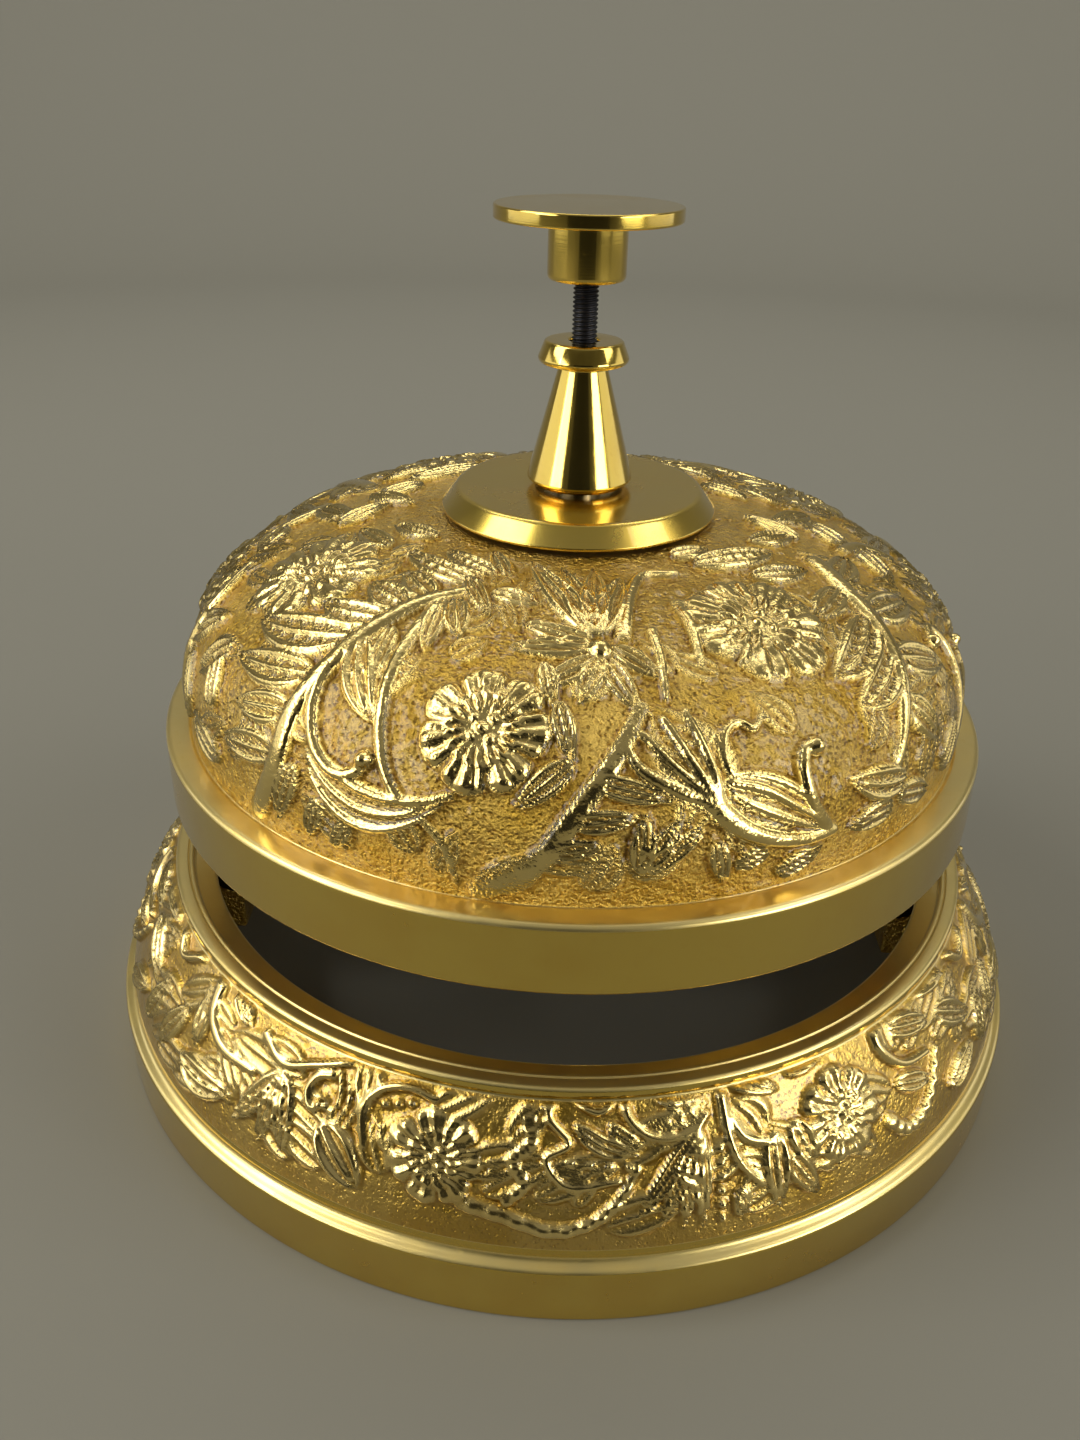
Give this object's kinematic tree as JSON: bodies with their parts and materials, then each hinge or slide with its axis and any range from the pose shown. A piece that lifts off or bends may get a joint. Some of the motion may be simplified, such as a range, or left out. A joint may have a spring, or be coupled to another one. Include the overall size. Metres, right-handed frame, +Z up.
{
  "type": "counter bell",
  "caption": "Desk bell with a domed cast bell on an open ring base, rung by a spring-loaded push button that swings a hammer inside.",
  "frame": {"origin": "centre of the circle that the base stands on, at table level", "axes": "+Z up along the plunger; -Y towards the user; +Y towards the hammer's side"},
  "size_m": [0.124, 0.124, 0.1049],
  "materials": {
    "cast_brass": "cast relief, polished on its high points and lacquered",
    "polished_brass": "turned, polished and lacquered",
    "black_steel": "black oxide",
    "bright_steel": "zinc plated",
    "leather": "plain hide"
  },
  "bodies": {
    "bell_frame": {"base_ring": "cast_brass", "bridge_bar": "black_steel", "bridge_screw_left": "bright_steel", "bridge_screw_right": "bright_steel", "center_post": "polished_brass", "post_washer": "bright_steel", "post_nut": "bright_steel", "dome_sleeve": "bright_steel", "height_nut": "bright_steel", "dome_pad": "leather", "bell_dome": "cast_brass", "cap_washer": "polished_brass", "finial_nut": "polished_brass", "return_spring": "bright_steel", "hammer_bracket": "black_steel", "bracket_nut": "bright_steel", "pivot_pin": "bright_steel", "pin_clip": "bright_steel", "pivot_spacer_left": "polished_brass", "pivot_spacer_right": "polished_brass"},
    "plunger": {"plunger_rod": "black_steel", "push_button": "polished_brass", "striker_nut": "bright_steel", "spring_nut": "bright_steel"},
    "hammer": {"hammer_lever": "bright_steel", "hammer_head": "polished_brass", "head_rivet": "bright_steel"}
  },
  "joints": [
    {"name": "button_press", "type": "slide", "parent": "bell_frame", "child": "plunger", "axis": [0, 0, -1], "range_m": [0, 0.0055], "stiffness_N_per_m": 400, "springref_m": -0.004, "deforming": ["return_spring"]},
    {"name": "hammer_swing", "type": "hinge", "parent": "bell_frame", "child": "hammer", "pos_m": [0.0027, 0.016, 0.0502], "axis": [1, 0, 0], "range_deg": [0, 19.7]}
  ],
  "couplings": [
    {"joint": "hammer_swing", "follows": "button_press", "rad_per_m": 62.5}
  ]
}
